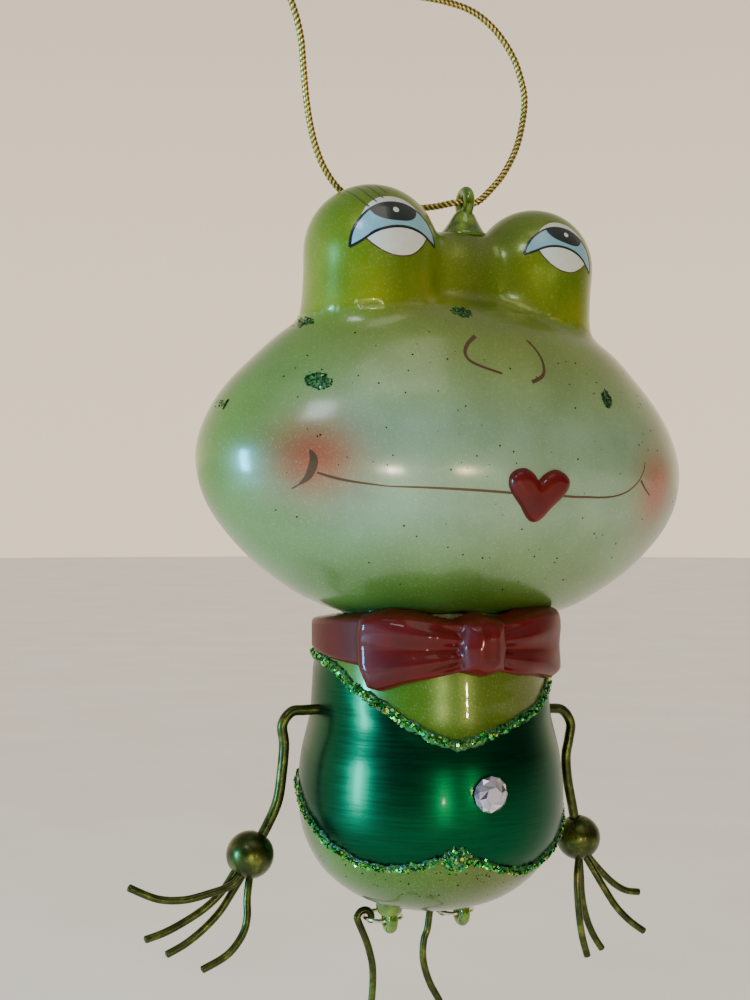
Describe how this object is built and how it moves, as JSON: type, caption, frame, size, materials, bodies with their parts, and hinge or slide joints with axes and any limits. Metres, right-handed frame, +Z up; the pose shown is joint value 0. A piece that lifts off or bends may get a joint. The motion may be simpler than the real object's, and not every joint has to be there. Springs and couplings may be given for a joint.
{
  "type": "hanging glass frog ornament",
  "caption": "Hand-painted blown-glass frog ornament on a gold hanging cord, with wire arms, bead hands and jointed wire legs.",
  "frame": {"origin": "centre of the glass eye that the hanging cord runs through, on top of the head", "axes": "+Z up along the hanging direction, the face looks to -Y, +X to the viewer's right when facing the frog"},
  "size_m": [0.1008, 0.0556, 0.2394],
  "materials": {
    "head_glass": "frosted pearl lacquer",
    "torso_glass": "glossy lime lacquer",
    "clear_glue": "clear glue line",
    "hanger_glass": "glossy green glass",
    "gold_cord": "twisted metallic thread",
    "eye_print": "printed eye decal",
    "red_enamel": "thick glossy red enamel",
    "green_glitter": "green glitter in clear glue",
    "emerald_lacquer": "metallic emerald lacquer",
    "stone": "foil-backed faceted stone",
    "green_wire": "olive gold lacquered wire and beads",
    "bright_wire": "bare bright ring"
  },
  "bodies": {
    "cord": {"hanging_cord": "gold_cord", "cord_knot": "gold_cord"},
    "frog": {"head_shell": "head_glass", "torso_shell": "torso_glass", "neck_seam": "clear_glue", "hanger_eye": "hanger_glass", "left_eye_decal": "eye_print", "right_eye_decal": "eye_print", "heart_lips": "red_enamel", "head_glitter": "green_glitter", "bow_tie": "red_enamel", "waistcoat": "emerald_lacquer", "neckline_trim": "green_glitter", "hem_trim": "green_glitter", "hem_tuft": "green_glitter", "rhinestone": "stone", "left_arm_socket": "torso_glass", "right_arm_socket": "torso_glass", "left_leg_lug": "hanger_glass", "right_leg_lug": "hanger_glass", "left_jump_ring": "bright_wire", "right_jump_ring": "bright_wire"},
    "left_arm": {"left_arm_wire": "green_wire", "left_hand_bead": "green_wire", "left_finger_1": "green_wire", "left_finger_2": "green_wire", "left_finger_3": "green_wire", "left_finger_4": "green_wire"},
    "left_leg": {"left_leg_wire": "green_wire", "left_foot_bead": "green_wire", "left_toe_1": "green_wire", "left_toe_2": "green_wire", "left_toe_3": "green_wire", "left_toe_4": "green_wire"},
    "right_arm": {"right_arm_wire": "green_wire", "right_hand_bead": "green_wire", "right_finger_1": "green_wire", "right_finger_2": "green_wire", "right_finger_3": "green_wire", "right_finger_4": "green_wire"},
    "right_leg": {"right_leg_wire": "green_wire", "right_foot_bead": "green_wire", "right_toe_1": "green_wire", "right_toe_2": "green_wire", "right_toe_3": "green_wire", "right_toe_4": "green_wire"}
  },
  "joints": [
    {"name": "frog_swing", "type": "hinge", "parent": "cord", "child": "frog", "pos_m": [0, 0, 0], "axis": [1, 0, 0], "range_deg": [-10, 10]},
    {"name": "left_arm_turn", "type": "hinge", "parent": "frog", "child": "left_arm", "pos_m": [-0.02647, 0.0006, -0.08791], "axis": [1, 0, 0], "range_deg": [-110, 110]},
    {"name": "right_arm_turn", "type": "hinge", "parent": "frog", "child": "right_arm", "pos_m": [0.01353, 0.0006, -0.08991], "axis": [1, 0, 0], "range_deg": [-110, 110]},
    {"name": "left_leg_swing", "type": "hinge", "parent": "frog", "child": "left_leg", "pos_m": [-0.01687, 0.0055, -0.12551], "axis": [0, 1, 0], "range_deg": [-3, 40]},
    {"name": "right_leg_swing", "type": "hinge", "parent": "frog", "child": "right_leg", "pos_m": [-0.00307, 0.0055, -0.12551], "axis": [0, 1, 0], "range_deg": [-40, 3]}
  ]
}
